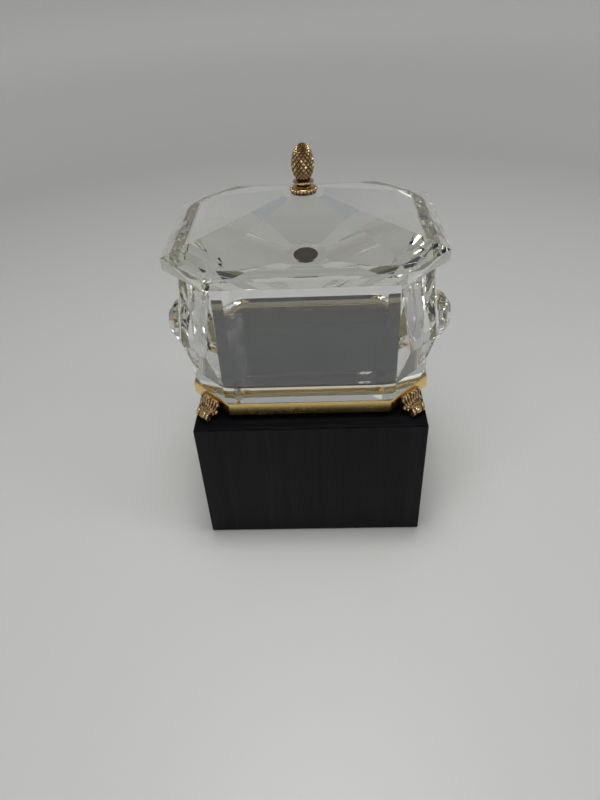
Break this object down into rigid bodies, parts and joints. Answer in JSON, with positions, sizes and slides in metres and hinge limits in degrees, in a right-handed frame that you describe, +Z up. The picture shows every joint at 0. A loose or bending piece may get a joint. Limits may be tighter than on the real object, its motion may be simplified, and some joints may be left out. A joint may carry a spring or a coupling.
{
  "type": "crystal casket on plinth",
  "caption": "Cut-crystal eight-sided trinket casket with lift-off lid, gilt scroll feet and pinecone finial, standing on a black wooden plinth.",
  "frame": {"origin": "on the surface that the plinth's felt pads stand on, under the centre of the plinth and of the casket", "axes": "+Z up along the casket's height, +X to the right seen from the front, the long front faces -Y"},
  "size_m": [0.237, 0.19, 0.307],
  "materials": {
    "crystal": "polished cut lead crystal, clear with a faint warm green in its thick edges",
    "gilt_bronze": "cast, chased and gilt, with dark patina in its hollows",
    "screw_brass": "turned brass",
    "cement": "matt setting cement",
    "ebonised_wood": "black stain over open grain, satin",
    "raw_wood": "unfinished softwood",
    "screw_steel": "plain",
    "black_felt": "pressed felt"
  },
  "bodies": {
    "plinth": {"plinth_top": "ebonised_wood", "plinth_front": "ebonised_wood", "plinth_right": "ebonised_wood", "plinth_back": "ebonised_wood", "plinth_left": "ebonised_wood", "plinth_bottom": "ebonised_wood", "corner_block_front_left": "raw_wood", "corner_block_front_right": "raw_wood", "corner_block_back_left": "raw_wood", "corner_block_back_right": "raw_wood", "wood_screw_front_left": "screw_steel", "wood_screw_front_right": "screw_steel", "wood_screw_back_left": "screw_steel", "wood_screw_back_right": "screw_steel", "felt_pad_front_left": "black_felt", "felt_pad_front_right": "black_felt", "felt_pad_back_left": "black_felt", "felt_pad_back_right": "black_felt"},
    "casket": {"base_frame": "gilt_bronze", "foot_front_left": "gilt_bronze", "foot_front_right": "gilt_bronze", "foot_back_left": "gilt_bronze", "foot_back_right": "gilt_bronze", "foot_screw_front_left": "screw_brass", "foot_screw_front_right": "screw_brass", "foot_screw_back_left": "screw_brass", "foot_screw_back_right": "screw_brass", "cement_bed": "cement", "crystal_body": "crystal"},
    "lid": {"lid_crystal": "crystal", "finial_cement": "cement", "finial_flange": "gilt_bronze", "finial_knop": "gilt_bronze", "finial_cone": "gilt_bronze", "finial_stud": "screw_brass"}
  },
  "joints": [
    {"name": "casket_lift", "type": "slide", "parent": "plinth", "child": "casket", "axis": [0, 0, 1], "range_m": [0, 0.15]},
    {"name": "lid_lift", "type": "slide", "parent": "casket", "child": "lid", "axis": [0, 0, 1], "range_m": [0, 0.12]}
  ]
}
